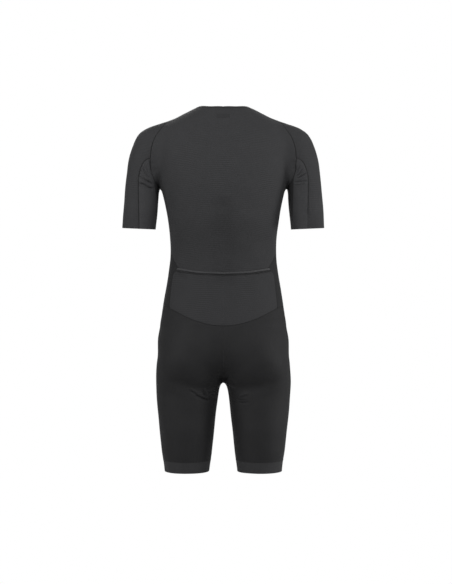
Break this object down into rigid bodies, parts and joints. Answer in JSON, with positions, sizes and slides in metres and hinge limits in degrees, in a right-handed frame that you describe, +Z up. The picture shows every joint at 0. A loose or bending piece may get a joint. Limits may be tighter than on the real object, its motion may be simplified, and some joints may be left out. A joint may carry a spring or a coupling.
{
  "type": "triathlon suit",
  "caption": "Short-sleeved one-piece triathlon suit, filled out as if worn, with a front zip, a wide back pocket, inner-sleeve gussets and banded leg hems.",
  "frame": {"origin": "on the centre plane, level with the top of the shoulders beside the neck, where the wearer holds the suit up", "axes": "+Z up along the suit, towards the neck; the chest and its zip face -Y and the back faces +Y; the wearer's left is +X"},
  "size_m": [0.5156, 0.2325, 0.9297],
  "materials": {
    "knit_charcoal": "fine ribbed stretch knit, matte",
    "knit_pocket": "stretch knit with fine level ribs, matte",
    "knit_black": "smooth dense stretch knit, slight sheen",
    "knit_side": "smooth dense stretch knit, matte",
    "grip_band": "woven elastic band, matte",
    "binding_black": "folded elastic binding",
    "zip_tape_black": "woven zip tape",
    "zip_metal_black": "black coated zip metal, satin"
  },
  "bodies": {
    "suit": {"back": "knit_charcoal", "pocket": "knit_pocket", "pocket_binding": "binding_black", "side_left": "knit_side", "side_right": "knit_side", "front_left": "knit_charcoal", "front_right": "knit_charcoal", "sleeve_left": "knit_charcoal", "sleeve_right": "knit_charcoal", "sleeve_gusset_left": "knit_charcoal", "sleeve_gusset_right": "knit_charcoal", "neck_binding": "binding_black", "shorts_back_left": "knit_black", "shorts_back_right": "knit_black", "shorts_front_left": "knit_black", "shorts_front_right": "knit_black", "leg_band_left": "grip_band", "leg_band_right": "grip_band", "zip_tape_left": "zip_tape_black", "zip_tape_right": "zip_tape_black", "zip_slider": "zip_metal_black"},
    "zip_pull": {"zip_pull": "zip_metal_black"}
  },
  "joints": [
    {"name": "pull_swing", "type": "hinge", "parent": "suit", "child": "zip_pull", "pos_m": [0, -0.0865, -0.07399], "axis": [-1, 0, 0], "range_deg": [0, 150]}
  ]
}
